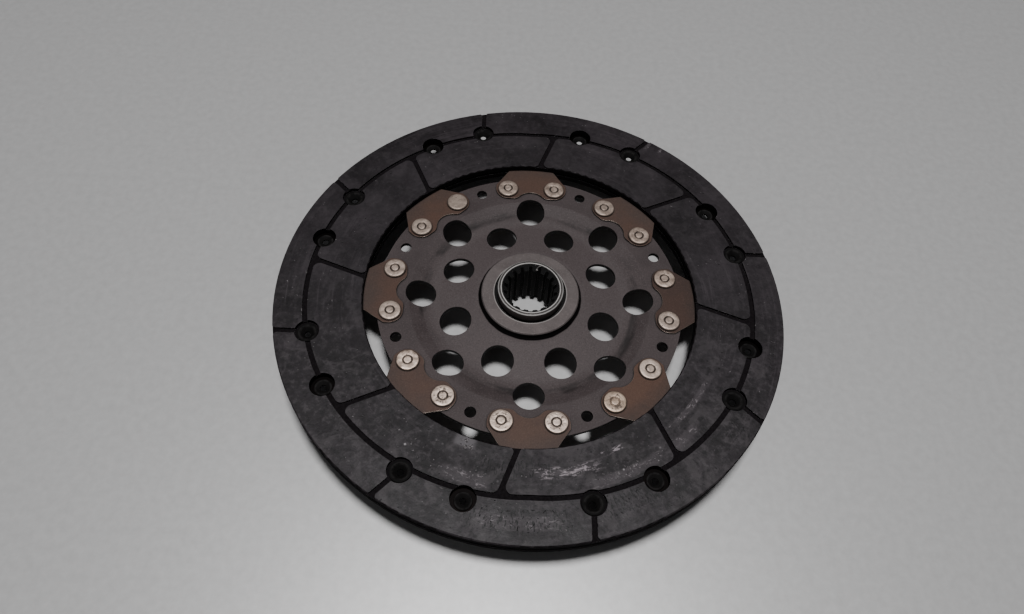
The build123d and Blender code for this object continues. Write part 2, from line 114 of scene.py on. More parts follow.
def worn_copy(node, name, edge, finish, edge_finish, flat=1.0, cutter=None, sunk=None):
    """A copy of a solid with its sharp edges rounded; the roundings get a finish of their own.
    Faces that lie within flat degrees of each other are joined first. A cutter takes chips out,
    and they get the cutter's finish. Sunk is a finish for the faces between two heights."""
    mesh = bpy.data.meshes.new(name)
    shape = bmesh.new()
    shape.from_mesh(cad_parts[node].data)
    shape.transform(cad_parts[node].matrix_world)
    bmesh.ops.remove_doubles(shape, verts=shape.verts, dist=0.001 * MM)
    bmesh.ops.dissolve_limit(
        shape, angle_limit=math.radians(flat), verts=shape.verts, edges=shape.edges
    )
    for face in shape.faces:
        face.smooth = True
        height = face.calc_center_median().z
        face.material_index = SUNK_SLOT if sunk and sunk[1] < height < sunk[2] else FACE_SLOT
    for skin in (finish, edge_finish, sunk[0]) if sunk else (finish, edge_finish):
        mesh.materials.append(skin)
    shape.to_mesh(mesh)
    shape.free()
    piece = link(bpy.data.objects.new(name, mesh))
    bevel = piece.modifiers.new("worn edges", "BEVEL")
    bevel.width = edge
    bevel.segments = 2
    bevel.limit_method = "ANGLE"
    bevel.angle_limit = math.radians(SHARP)
    bevel.miter_outer = "MITER_ARC"
    bevel.material = EDGE_SLOT
    if cutter:
        chips = piece.modifiers.new("chips", "BOOLEAN")
        chips.object = cutter
        chips.solver = "EXACT"
        chips.material_mode = "TRANSFER"
    weighted = piece.modifiers.new("even shading", "WEIGHTED_NORMAL")
    weighted.keep_sharp = True
    return settle(piece)


def opaque(value):
    """A colour as a socket takes it; any other value stays as it is."""
    return (*value, 1.0) if isinstance(value, tuple) else value


class Wiring:
    """Adds nodes to a tree and joins them up; a value may be a number or another node's socket."""

    def __init__(self, tree):
        self.tree = tree

    def add(self, kind, inputs=None, **settings):
        made = self.tree.nodes.new(kind)
        for key, value in settings.items():
            setattr(made, key, value)
        for key, value in (inputs or {}).items():
            self.give(made.inputs[key], value)
        return made

    def first(self, kind, inputs=None, **settings):
        """The first output of a new node."""
        return self.add(kind, inputs, **settings).outputs[0]

    def give(self, target, value):
        if isinstance(value, bpy.types.NodeSocket):
            self.tree.links.new(value, target)
        else:
            target.default_value = value

    def math(self, operation, first, second=0.0, third=0.0, clamp=False):
        made = self.add("ShaderNodeMath", operation=operation, use_clamp=clamp)
        for target, value in zip(made.inputs, (first, second, third)):
            self.give(target, value)
        return made.outputs[0]

    def product(self, *values):
        total = values[0]
        for value in values[1:]:
            total = self.math("MULTIPLY", total, value)
        return total

    def parts(self, vector):
        """The x, y and z of a vector."""
        return self.add("ShaderNodeSeparateXYZ", {"Vector": vector}).outputs

    def distance(self, across, along):
        """How far a spot is from an axis."""
        squares = self.math("MULTIPLY_ADD", across, across, self.product(along, along))
        return self.math("SQRT", squares)

    def same(self, number, wanted):
        """1 where a number is the wanted one, and 0 elsewhere."""
        return self.math("COMPARE", number, float(wanted), 0.1)

    def rise(self, value, low, high):
        """0 below low and 1 above high, with a smooth step; falls where low is above high."""
        inputs = {"From Min": low, "From Max": high, "Value": value}
        return self.first("ShaderNodeMapRange", inputs, interpolation_type="SMOOTHSTEP", clamp=True)

    def band(self, value, middle, half, soft):
        """1 near a middle value and 0 away from it."""
        away = self.math("ABSOLUTE", self.math("SUBTRACT", value, middle))
        return self.rise(away, half + soft, half)


class Finish(Wiring):
    """One procedural material, in the frame of the disc."""

    def __init__(self, name):
        self.material = bpy.data.materials.new(name)
        self.material.use_nodes = True
        super().__init__(self.material.node_tree)
        self.shader = self.tree.nodes["Principled BSDF"]
        coordinates = self.add("ShaderNodeTexCoord").outputs
        self.place = coordinates["Object"]
        self.x, self.y, self.z = self.parts(self.place)
        self.upright = self.math("ABSOLUTE", self.parts(coordinates["Normal"])[2])
        self.radius = self.distance(self.x, self.y)
        self.angle = self.math("ARCTAN2", self.y, self.x)

    def stored(self, name, output="Fac"):
        """A value that the piece carries on its mesh."""
        return self.add("ShaderNodeAttribute", attribute_name=name).outputs[output]

    def around(self, along, across):
        """Coordinates that run round the axis, for marks left by turning and rubbing."""
        parts = [
            self.product(self.math("DIVIDE", self.x, self.radius), along),
            self.product(self.math("DIVIDE", self.y, self.radius), along),
            self.product(self.radius, across),
        ]
        return self.first("ShaderNodeCombineXYZ", dict(enumerate(parts)))

    def noise(self, scale, detail=4.0, rough=0.55, place=None, bend=0.0):
        """Grain, with so many grains to a metre."""
        inputs = {
            "Vector": place or self.place,
            "Scale": scale,
            "Detail": detail,
            "Roughness": rough,
            "Distortion": bend,
        }
        return self.first("ShaderNodeTexNoise", inputs)

    def unsteady(self, value, scale, swing):
        """A value that wanders by so much to each side."""
        wobble = self.math("MULTIPLY_ADD", self.noise(scale, 3), 2.0 * swing, -swing)
        return self.math("ADD", value, wobble)

    def specks(self, scale, size, share):
        """Round dots: so many cells to a metre, dot size in cells, share of cells with a dot."""
        cells = self.add("ShaderNodeTexVoronoi", {"Vector": self.place, "Scale": scale})
        dice = self.first("ShaderNodeSeparateColor", {"Color": cells.outputs["Color"]})
        dot = self.rise(cells.outputs["Distance"], size, size * 0.5)
        return self.product(dot, self.math("LESS_THAN", dice, share))

    def arcs(self, places):
        """1 on arcs round the axis: middle, half angle (degrees), radius and half width (mm)."""
        total = 0.0
        for middle, half, radius, wide in places:
            reach = math.radians(half * 0.6)
            along = self.band(self.angle, math.radians(middle), reach, reach)
            across = self.band(self.radius, radius * MM, wide * 0.5 * MM, wide * 0.7 * MM)
            total = self.math("MAXIMUM", self.product(along, across), total)
        return total

    def shade(self, value, *stops):
        """Colours along a value from 0 to 1."""
        made = self.add("ShaderNodeValToRGB", {"Fac": value})
        places = made.color_ramp.elements
        while len(places) < len(stops):
            places.new(0.5)
        for element, (where, colour) in zip(places, stops):
            element.position = where
            element.color = opaque(colour)
        return made.outputs[0]

    def over(self, base, top, share):
        """One colour laid over another by a share."""
        made = self.add("ShaderNodeMix", data_type="RGBA")
        sockets = made.inputs
        for target, value in ((sockets[0], share), (sockets[6], base), (sockets[7], top)):
            self.give(target, opaque(value))
        return made.outputs[2]

    def between(self, share, low, high):
        """A number from low to high."""
        inputs = {"Value": share, "To Min": low, "To Max": high}
        return self.first("ShaderNodeMapRange", inputs, clamp=True)

    def occlusion(self, reach):
        """How closed in a spot is, within a reach: 0 in the open, 1 deep in a corner; used to paint
        shade into colours.
        """
        made = self.add("ShaderNodeAmbientOcclusion", {"Distance": reach}, samples=6)
        return self.math("SUBTRACT", 1.0, made.outputs["AO"])

    def relief(self, height, depth, after=None):
        """Fine unevenness of the surface, too small to model."""
        inputs = {"Height": height, "Distance": depth, "Strength": 1.0}
        if after:
            inputs["Normal"] = after
        return self.first("ShaderNodeBump", inputs)

    def done(self, colour, roughness, metallic=0.0, normal=None, specular=0.5):
        """Ends the material and gives it back."""
        inputs = {
            "Base Color": colour,
            "Roughness": roughness,
            "Metallic": metallic,
            "Specular IOR Level": specular,
        }
        for name, value in inputs.items():
            self.give(self.shader.inputs[name], opaque(value))
        if normal:
            self.give(self.shader.inputs["Normal"], normal)
        return self.material


def hub_steel():
    """Grey phosphated forging: turned end face and flange; bore black with oil and painted shade,
    painted shade in the relief groove and down the flange's side.
    """
    finish = Finish("hub steel")
    grain = finish.noise(1300, 5)
    blotch = finish.noise(150, 4)
    skin = finish.shade(blotch, (0.3, FORGING_DARK), (0.7, FORGING_LIGHT))
    speckle = finish.product(finish.rise(grain, 0.50, 0.74), 0.45)
    skin = finish.over(skin, FORGING_GLINT, speckle)
    turned = finish.shade(blotch, (0.3, TURNED_DARK), (0.7, TURNED_LIGHT))
    end = finish.rise(finish.z, HUB_TOP - 0.8 * MM, HUB_TOP - 0.3 * MM)
    colour = finish.over(skin, turned, end)
    relief_lip = finish.band(finish.radius, RELIEF_R + 0.25 * MM, 0.12 * MM, 0.14 * MM)
    relief_lip = finish.product(relief_lip, finish.between(blotch, 0.3, 0.9))
    colour = finish.over(colour, RELIEF_LIP, relief_lip)
    ring_r = finish.unsteady(finish.radius, 420, 0.15 * MM)
    rim = finish.band(ring_r, HUB_TUBE_R - 0.3 * MM, 0.14 * MM, 0.10 * MM)
    lip = finish.band(ring_r, BORE_MOUTH_R + 0.45 * MM, 0.12 * MM, 0.10 * MM)
    bare = finish.product(finish.math("MAXIMUM", rim, lip), end, finish.between(blotch, 0.5, 1.0))
    colour = finish.over(colour, BARE_STEEL, bare)
    # The bore is black: oil, and painted shade, kept from shining.
    bore_oil_and_shade = finish.rise(finish.radius, BORE_MOUTH_R + 0.2 * MM, BORE_MOUTH_R - 0.1 * MM)
    # Painted shade from just under the flange's top down to the plate: the relief groove and the
    # flange's side.
    below = finish.rise(finish.z, FLANGE_TOP - 0.2 * MM, FLANGE_TOP - 0.8 * MM)
    below = finish.product(below, finish.rise(finish.z, COVERED_LOW, COVERED_LOW + 0.5 * MM))
    black = finish.math("MAXIMUM", bore_oil_and_shade, below)
    colour = finish.over(colour, HUB_OIL_AND_SHADE, black)
    tool_marks = finish.noise(1.0, 3, 0.5, finish.around(0.6, 5200))
    normal = finish.relief(grain, 0.03 * MM, finish.relief(tool_marks, 0.02 * MM))
    rough = finish.math("MAXIMUM", finish.between(grain, 0.38, 0.58), finish.product(black, 0.85))
    metallic = finish.product(finish.math("SUBTRACT", 1.0, black), 0.35)
    return finish.done(colour, rough, metallic, normal, specular=0.3)


def bright_edge(name, dull, bright):
    """Steel rubbed bare along an edge, in patches."""
    finish = Finish(name)
    rubbed = finish.rise(finish.noise(260, 4), 0.40, 0.62)
    colour = finish.over(dull, bright, rubbed)
    return finish.done(colour, 0.36, 0.6, finish.relief(finish.noise(1500, 3), 0.02 * MM))


def add_burr(piece, points, radius, slot):
    """Joins a curled sliver of bare metal to a piece, as a thin closed tube through some points."""
    curl = bpy.data.curves.new("burr", "CURVE")
    curl.dimensions = "3D"
    curl.bevel_depth = radius
    curl.bevel_resolution = 1
    curl.use_fill_caps = True
    line = curl.splines.new("POLY")
    line.points.add(len(points) - 1)
    for point, place in zip(line.points, points):
        point.co = (*(along * MM for along in place), 1.0)
    sliver = link(bpy.data.objects.new("burr", curl))
    shape = bmesh.new()
    shape.from_mesh(shown_mesh(sliver))
    bpy.data.objects.remove(sliver)
    bmesh.ops.remove_doubles(shape, verts=shape.verts, dist=0.01 * MM)
    bmesh.ops.recalc_face_normals(shape, faces=shape.faces)
    for face in shape.faces:
        face.material_index = slot
        face.smooth = True
    shape.from_mesh(piece.data)
    shape.to_mesh(piece.data)
    shape.free()


hub_edge_steel = bright_edge("hub edge", HUB_EDGE_DULL, HUB_EDGE_BRIGHT)
hub = worn_copy("hub", "splined_hub", HUB_EDGE, hub_steel(), hub_edge_steel)
add_burr(hub, BURR, BURR_R, EDGE_SLOT)
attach(hub, "root")
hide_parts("hub")


# ---- carrier plate ----
# Pressed from 2 mm sheet steel and phosphated a warm dark grey. Lightening holes are punched in
# two rings, with small tooling holes between the segment feet.
PLATE_EDGE = 0.28 * MM
PLATE_FLAT = 0.2  # degrees; keeps the soft bends of the pressing
FLANGE_R = 22.9 * MM
STEP_FOOT_R = 50.0 * MM
WEB_R = 44.0 * MM
PHOSPHATE_DARK = (0.041, 0.0310, 0.0315)
PHOSPHATE_LIGHT = (0.060, 0.0470, 0.0475)
PHOSPHATE_WEB = (0.072, 0.058, 0.0585)
PHOSPHATE_GLINT = (0.118, 0.099, 0.098)
PHOSPHATE_PORE = (0.030, 0.022, 0.023)
CREASE_SHADE = (0.010, 0.008, 0.008)
PLATE_CORNER_SHADE = (0.005, 0.004, 0.004)
PLATE_WALL_SHADE = (0.008, 0.006, 0.006)
FLANGE_SHADOW = (0.002, 0.002, 0.002)
PLATE_EDGE_DULL = (0.075, 0.066, 0.064)
PLATE_EDGE_BRIGHT = (0.17, 0.155, 0.15)


def plate_steel():
    """Fine, even phosphate, rubbed a little, with painted shade in the corners, on the walls and
    along the step, and a painted shadow round the hub flange.
    """
    finish = Finish("phosphated plate")
    blotch = finish.noise(70, 5, 0.6)
    grain = finish.noise(1700, 5, 0.6)
    colour = finish.shade(blotch, (0.32, PHOSPHATE_DARK), (0.68, PHOSPHATE_LIGHT))
    web = finish.rise(finish.radius, STEP_FOOT_R + 1 * MM, WEB_R)
    colour = finish.over(colour, PHOSPHATE_WEB, finish.product(web, 0.75))
    glint = finish.product(finish.rise(grain, 0.50, 0.74), 0.55)
    colour = finish.over(colour, PHOSPHATE_GLINT, glint)
    pore = finish.product(finish.rise(grain, 0.50, 0.30), 0.5)
    colour = finish.over(colour, PHOSPHATE_PORE, pore)
    # Painted shade along the foot of the pressed step, broken up in streaks round the axis.
    smear = finish.rise(finish.noise(1.0, 4, 0.6, finish.around(2.2, 90)), 0.42, 0.64)
    crease = finish.product(smear, finish.band(finish.radius, STEP_FOOT_R, 0.9 * MM, 1.9 * MM))
    colour = finish.over(colour, CREASE_SHADE, finish.product(crease, 0.85))
    # Painted shadow of the hub flange: a black ring on the plate round it, kept from shining.
    flange_shadow = finish.unsteady(finish.radius, 240, 0.4 * MM)
    flange_shadow = finish.rise(flange_shadow, FLANGE_R + 1.6 * MM, FLANGE_R + 1.0 * MM)
    colour = finish.over(colour, FLANGE_SHADOW, flange_shadow)
    # Painted shade: the plate darker where it is closed in, round the segment feet, rivets and
    # flange.
    colour = finish.over(colour, PLATE_CORNER_SHADE, finish.rise(finish.occlusion(1.5 * MM), 0.14, 0.46))
    # Painted shade on the steep walls of the holes and edges.
    colour = finish.over(colour, PLATE_WALL_SHADE, finish.rise(finish.upright, 0.55, 0.25))
    rough = finish.between(blotch, 0.56, 0.72)
    normal = finish.relief(grain, 0.03 * MM)
    return finish.done(colour, rough, finish.between(flange_shadow, 0.08, 1.0), normal, specular=0.25)


plate_edge_steel = bright_edge("plate edge", PLATE_EDGE_DULL, PLATE_EDGE_BRIGHT)
plate = worn_copy(
    "carrier_plate", "carrier_plate_sheet", PLATE_EDGE, plate_steel(), plate_edge_steel, PLATE_FLAT
)
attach(plate, "root")
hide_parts("carrier_plate")


# ---- cushion segments ----
# Eight pieces of hardened spring strip, tempered brown, with cut edges left bright. Each has a
# foot with two rounded toes on the plate rim, and a waved paddle between the facings.
SEGMENT_EDGE = 0.12 * MM
SEGMENTS = 8
DARK_SEGMENT = 6  # counted from 0
FOOT_R = 66 * MM
NECK_R = 78 * MM
PADDLE_R = 84 * MM
PATH_R = 1.0 * MM  # circle that the outline of a turned piece is carried round
TEMPER_BROWNS = ((0.086, 0.046, 0.032), (0.072, 0.044, 0.035))
TEMPER_GREYS = ((0.048, 0.032, 0.027), (0.058, 0.041, 0.036))
TEMPER_DARK = (0.034, 0.024, 0.022)
TEMPER_GLINT = (0.13, 0.085, 0.066)
TEMPER_PORE = (0.030, 0.019, 0.015)
SHADE_BETWEEN_FACINGS = (0.004, 0.0035, 0.0035)
SEGMENT_CORNER_SHADE = (0.008, 0.0055, 0.005)
CUT_WALL_SHADE = (0.009, 0.006, 0.005)
SEGMENT_EDGE_DULL = (0.055, 0.040, 0.034)
SEGMENT_EDGE_BRIGHT = (0.22, 0.18, 0.155)


class Layout(Wiring):
    """One Geometry Nodes tree; its sizes are named inputs of the modifier that runs it."""

    def __init__(self, name, **sizes):
        super().__init__(bpy.data.node_groups.new(name, "GeometryNodeTree"))
        sockets = self.tree.interface
        sockets.new_socket("Geometry", in_out="INPUT", socket_type="NodeSocketGeometry")
        sockets.new_socket("Geometry", in_out="OUTPUT", socket_type="NodeSocketGeometry")
        self.values = {}
        for label, value in sizes.items():
            kind = "NodeSocketInt" if isinstance(value, int) else "NodeSocketFloat"
            made = sockets.new_socket(label.replace("_", " "), in_out="INPUT", socket_type=kind)
            self.values[made.identifier] = value
        self.start = self.add("NodeGroupInput").outputs

    def vector(self, x=0.0, y=0.0, z=0.0):
        return self.first("ShaderNodeCombineXYZ", {0: x, 1: y, 2: z})

    def index(self):
        return self.first("GeometryNodeInputIndex")

    def throw(self, seed):
        """A random number from 0 to 1 for each place."""
        return self.add("FunctionNodeRandomValue", {"Seed": seed}).outputs[1]

    def more(self, size, extra):
        """A named size with a little more or less."""
        return self.math("ADD", size, extra)

    def keep(self, shape, name, value, kind="FLOAT"):
        """Stores a value by name on each point, for the material or for a later step."""
        inputs = {"Geometry": shape, "Name": name, "Value": value}
        return self.first("GeometryNodeStoreNamedAttribute", inputs, data_type=kind)

    def kept(self, name, kind="FLOAT"):
        """A value that was stored before."""
        return self.first("GeometryNodeInputNamedAttribute", {"Name": name}, data_type=kind)

    def turned(self, corners, closed, rounding, cuts, steps):
        """A solid of revolution about Z from (radius, height) corners, rounded a little.
        It carries the place of each of its points as "spot"."""
        outline = self.first("GeometryNodeMeshLine", {"Count": len(corners)})
        pick = self.add("GeometryNodeIndexSwitch", data_type="VECTOR")
        while len(pick.index_switch_items) < len(corners):
            pick.index_switch_items.new()
        self.give(pick.inputs["Index"], self.index())
        for place, (radius, height) in enumerate(corners):
            outwards = self.math("SUBTRACT", radius, PATH_R)
            downwards = self.math("MULTIPLY", height, -1.0)
            self.give(pick.inputs[place + 1], self.vector(outwards, downwards))
        inputs = {"Geometry": outline, "Position": pick.outputs[0]}
        outline = self.first("GeometryNodeSetPosition", inputs)
        outline = self.first("GeometryNodeMeshToCurve", {"Mesh": outline})
        inputs = {"Geometry": outline, "Cyclic": closed}
        outline = self.first("GeometryNodeSetSplineCyclic", inputs)
        inputs = {"Curve": outline, "Count": 2, "Radius": rounding, "Limit Radius": True}
        outline = self.first("GeometryNodeFilletCurve", inputs, mode="POLY")
        outline = self.first("GeometryNodeSubdivideCurve", {"Curve": outline, "Cuts": cuts})
        inputs = {"Resolution": steps, "Radius": PATH_R}
        path = self.first("GeometryNodeCurvePrimitiveCircle", inputs)
        path = self.first("GeometryNodeSetCurveNormal", {"Curve": path}, mode="Z_UP")
        solid = self.first("GeometryNodeCurveToMesh", {"Curve": path, "Profile Curve": outline})
        inputs = {"Geometry": solid, "Distance": 0.002 * MM}
        solid = self.first("GeometryNodeMergeByDistance", inputs)
        place = self.first("GeometryNodeInputPosition")
        return self.keep(solid, "spot", place, "FLOAT_VECTOR")

    def repeat(self, shape, count, position, rotation, seed):
        """Copies a shape to so many places, each with its number and a throw of the dice."""
        points = self.first("GeometryNodePoints", {"Count": count, "Position": position})
        points = self.keep(points, "dice", self.throw(seed))
        points = self.keep(points, "number", self.index())
        inputs = {"Points": points, "Instance": shape, "Rotation": rotation}
        copies = self.first("GeometryNodeInstanceOnPoints", inputs)
        return self.first("GeometryNodeRealizeInstances", {"Geometry": copies})

    def run(self, piece, shape, finish=None):
        """Ends the tree, runs it on a piece and leaves the piece a plain mesh."""
        shape = self.first("GeometryNodeSetShadeSmooth", {"Geometry": shape})
        if finish:
            inputs = {"Geometry": shape, "Material": finish}
            shape = self.first("GeometryNodeSetMaterial", inputs)
        self.give(self.add("NodeGroupOutput").inputs[0], shape)
        modifier = piece.modifiers.new(self.tree.name, "NODES")
        modifier.node_group = self.tree
        for identifier, value in self.values.items():
            modifier[identifier] = value
        return settle(piece)


def tempered_steel():
    """Brown temper colours, greyer towards the facings, and painted black as shade where the
    facings cover it.
    """
    finish = Finish("tempered spring steel")
    dice = finish.stored("dice")
    blotch = finish.noise(75, 4, 0.6)
    grain = finish.noise(1800, 4)
    brown = finish.over(*TEMPER_BROWNS, dice)
    grey = finish.over(*TEMPER_GREYS, dice)
    outwards = finish.product(finish.rise(finish.radius, FOOT_R, NECK_R), 0.8)
    uneven = finish.product(finish.math("SUBTRACT", blotch, 0.5), 2.2)
    colour = finish.over(brown, grey, finish.math("ADD", outwards, uneven, clamp=True))
    darker = finish.product(finish.same(finish.stored("number"), DARK_SEGMENT), 0.6)
    colour = finish.over(colour, TEMPER_DARK, darker)
    glint = finish.product(finish.rise(grain, 0.52, 0.76), 0.4)
    colour = finish.over(colour, TEMPER_GLINT, glint)
    pore = finish.product(finish.rise(grain, 0.48, 0.30), 0.4)
    colour = finish.over(colour, TEMPER_PORE, pore)
    # Painted shade between the facings: black, kept from shining.
    covered = finish.rise(finish.radius, NECK_R + 1 * MM, PADDLE_R)
    colour = finish.over(colour, SHADE_BETWEEN_FACINGS, covered)
    # Painted shade: the segment darker where it is closed in, round the rivet heads and in corners.
    colour = finish.over(colour, SEGMENT_CORNER_SHADE, finish.rise(finish.occlusion(1.0 * MM), 0.18, 0.55))
    # Painted shade on the steep cut walls of the segments.
    colour = finish.over(colour, CUT_WALL_SHADE, finish.rise(finish.upright, 0.6, 0.3))
    rough = finish.between(blotch, 0.46, 0.6)
    normal = finish.relief(grain, 0.02 * MM)
    return finish.done(colour, rough, finish.between(covered, 0.05, 1.0), normal, specular=0.14)


segment_edge_steel = bright_edge("cut spring steel", SEGMENT_EDGE_DULL, SEGMENT_EDGE_BRIGHT)
segments = worn_copy(
    "cushion_segment_1", "cushion_springs", SEGMENT_EDGE, tempered_steel(), segment_edge_steel
)
layout = Layout("segments round the hub", Segments=SEGMENTS)
turn = layout.math("MULTIPLY", layout.index(), math.tau / SEGMENTS)
copies = layout.repeat(
    layout.start[0], layout.start["Segments"], (0, 0, 0), layout.vector(z=turn), seed=3
)
layout.run(segments, copies)
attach(segments, "root")
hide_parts(*[f"cushion_segment_{number}" for number in range(1, SEGMENTS + 1)])


# ---- segment rivets ----
# Sixteen solid steel rivets hold the segment feet to the plate. The punch left a ring in each low
# round head but one; the bright heads are lightly pitted.
RIVETS = 2 * SEGMENTS
RIVET_RING_R = 65.4 * MM
RIVET_HALF_ANGLE = math.asin(11.76 * MM / RIVET_RING_R)
PLATE_T = 2.0 * MM
SHEET_T = 0.7 * MM  # spring strip of the segments
FOOT_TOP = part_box("carrier_plate")[1].z + SHEET_T
HEAD_R = 5.25 * MM
HEAD_H = 1.15 * MM
WIDEST_H = 0.35 * MM  # height of the head's widest point
CROWN_H = 0.75 * MM  # height from which the head curves in
SHANK_R = 3.0 * MM
TAIL_R = 4.6 * MM
TAIL_H = 1.3 * MM
MARK_R = 2.0 * MM
MARK_HALF = 0.4 * MM
MARK_DEPTH = 0.35 * MM
SMEAR_R = 2.9 * MM
UNEVEN = 0.22 * MM
# Heads that differ, counted from 0.
PLAIN_HEAD = 3
SMUDGED_HEADS = (6, 8, 9, 11)
TARNISHED_HEAD = 11
RIVET_DARK = (0.25, 0.185, 0.15)
RIVET_LIGHT = (0.69, 0.545, 0.455)
RIVET_DULL = (0.38, 0.31, 0.265)
RIVET_TARNISH = (0.27, 0.19, 0.13)
RIVET_RING = (0.030, 0.024, 0.021)
RIVET_SMEAR = (0.06, 0.048, 0.042)
RIVET_PIT = (0.07, 0.055, 0.048)
RIVET_RIM_SHADE = (0.05, 0.038, 0.032)
RIVET_UNDER_SHADE = (0.010, 0.008, 0.007)


def rivet_places(layout):
    """Two rivets to a segment, at equal angles each side of its middle: place, angle and side."""
    number = layout.index()
    right = layout.math("MODULO", number, 2.0)
    segment = layout.math("FLOOR", layout.math("MULTIPLY", number, 0.5))
    middle = layout.math("MULTIPLY_ADD", segment, math.tau / SEGMENTS, math.pi / 2)
    side = layout.math("MULTIPLY_ADD", right, -2.0, 1.0)
    angle = layout.math("MULTIPLY_ADD", side, layout.start["Half angle"], middle)
    radius = layout.start["Ring radius"]
    x = layout.math("MULTIPLY", layout.math("COSINE", angle), radius)
    y = layout.math("MULTIPLY", layout.math("SINE", angle), radius)
    return x, y, angle, right


def rivet_steel():
    """Warm silver heads, satin and pitted, dark in the punched ring, with painted shade round the
    rim and under the head.
    """
    finish = Finish("bright rivet steel")
    across, along, high = finish.parts(finish.stored("spot", "Vector"))
    radius = finish.distance(across, along)
    rim_r = finish.unsteady(radius, 700, 0.25 * MM)
    blotch = finish.noise(330, 5, 0.6)
    grain = finish.noise(1600, 5)
    colour = finish.shade(blotch, (0.34, RIVET_DARK), (0.62, RIVET_LIGHT))
    colour = finish.over(colour, RIVET_DULL, finish.product(finish.stored("dice"), 0.7))
    tarnished = finish.same(finish.stored("number"), TARNISHED_HEAD)
    colour = finish.over(colour, RIVET_TARNISH, finish.product(tarnished, 0.55))
    marked = finish.math("SUBTRACT", 1.0, finish.stored("plain"))
    ring = finish.band(rim_r, MARK_R, 0.22 * MM, 0.34 * MM)
    ring = finish.product(ring, marked, finish.between(tarnished, 1.0, 0.25))
    colour = finish.over(colour, RIVET_RING, finish.product(ring, 0.86))
    smear = finish.product(
        finish.stored("smudged"),
        finish.band(radius, SMEAR_R, 0.7 * MM, 0.8 * MM),
        finish.rise(finish.noise(520, 4, bend=1.2), 0.50, 0.60),
    )
    colour = finish.over(colour, RIVET_SMEAR, finish.product(smear, 0.8))
    pits = finish.specks(1100, 0.34, 0.16)
    colour = finish.over(colour, RIVET_PIT, finish.product(pits, 0.7))
    # Painted shade round the rim of the head, where it rolls down.
    rim = finish.rise(rim_r, HEAD_R - 0.65 * MM, HEAD_R - 0.15 * MM)
    colour = finish.over(colour, RIVET_RIM_SHADE, finish.product(rim, 0.5))
    # Painted shade under the head and on the top of the shank.
    foot = finish.rise(high, CROWN_H, WIDEST_H)
    foot = finish.product(foot, finish.rise(high, -1.2 * MM, -0.6 * MM))
    colour = finish.over(colour, RIVET_UNDER_SHADE, foot)
    rough = finish.between(grain, 0.34, 0.58)
    normal = finish.relief(pits, -0.05 * MM, finish.relief(grain, 0.04 * MM))
    return finish.done(colour, rough, 0.8, normal)


layout = Layout(
    "segment rivets",
    Rivets=RIVETS,
    Ring_radius=RIVET_RING_R,
    Half_angle=RIVET_HALF_ANGLE,
    Head_radius=HEAD_R,
    Head_height=HEAD_H,
    Shank_radius=SHANK_R,
    Tail_radius=TAIL_R,
    Tail_height=TAIL_H,
    Mark_radius=MARK_R,
    Grip=SHEET_T + PLATE_T,
)
size = layout.start
low_end = layout.math("MULTIPLY", layout.math("ADD", size["Grip"], size["Tail height"]), -1.0)
plate_side = layout.math("MULTIPLY", size["Grip"], -1.0)
shoulder = layout.more(size["Head radius"], -0.45 * MM)
rivet = layout.turned(
    [
        (0.0, size["Head height"]),
        (layout.more(size["Mark radius"], -MARK_HALF), size["Head height"]),
        (size["Mark radius"], layout.more(size["Head height"], -MARK_DEPTH)),
        (layout.more(size["Mark radius"], MARK_HALF), size["Head height"]),
        (layout.more(size["Head radius"], -1.2 * MM), size["Head height"]),
        (shoulder, layout.more(size["Head height"], -0.06 * MM)),
        (layout.more(size["Head radius"], -0.1 * MM), CROWN_H),
        (size["Head radius"], WIDEST_H),
        (layout.more(size["Head radius"], -0.1 * MM), 0.0),
        (size["Shank radius"], 0.0),
        (size["Shank radius"], plate_side),
        (size["Tail radius"], plate_side),
        (size["Tail radius"], layout.more(low_end, 0.6 * MM)),
        (layout.more(size["Tail radius"], -0.9 * MM), low_end),
        (0.0, low_end),
    ],
    closed=False,
    rounding=0.16 * MM,
    cuts=1,
    steps=48,
)
x, y = rivet_places(layout)[:2]
spin = layout.math("MULTIPLY", layout.throw(seed=8), math.tau)
place = layout.vector(x, y, FOOT_TOP)
rotation = layout.vector(z=spin)
rivets = layout.repeat(rivet, size["Rivets"], place, rotation, seed=11)
number = layout.kept("number")
plain = layout.same(number, PLAIN_HEAD)
smudged = 0.0
for head in SMUDGED_HEADS:
    smudged = layout.math("ADD", layout.same(number, head), smudged)
rivets = layout.keep(layout.keep(rivets, "plain", plain), "smudged", smudged)
# The plain head's ring is filled up, and every head is made a little uneven.
across, along, high = layout.parts(layout.kept("spot", "FLOAT_VECTOR"))
on_top = layout.math("GREATER_THAN", high, HEAD_H - MARK_DEPTH - 0.05 * MM)
inside = layout.math("LESS_THAN", layout.distance(across, along), MARK_R + MARK_HALF + 0.3 * MM)
missing = layout.math("SUBTRACT", size["Head height"], high)
fill = layout.product(missing, on_top, inside, plain)
bumps = layout.first("ShaderNodeTexNoise", {"Scale": 520.0, "Detail": 2.0})
uneven = layout.product(layout.math("SUBTRACT", bumps, 0.5), UNEVEN)
uneven = layout.product(uneven, layout.math("GREATER_THAN", high, 0.5 * MM))
lift = layout.vector(z=layout.math("ADD", fill, uneven))
rivets = layout.first("GeometryNodeSetPosition", {"Geometry": rivets, "Offset": lift})
foot_rivets = link(bpy.data.objects.new("segment_rivets", bpy.data.meshes.new("segment_rivets")))
layout.run(foot_rivets, rivets, rivet_steel())
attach(foot_rivets, "root")
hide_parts(*[f"segment_rivet_{number:02d}" for number in range(1, RIVETS + 1)])


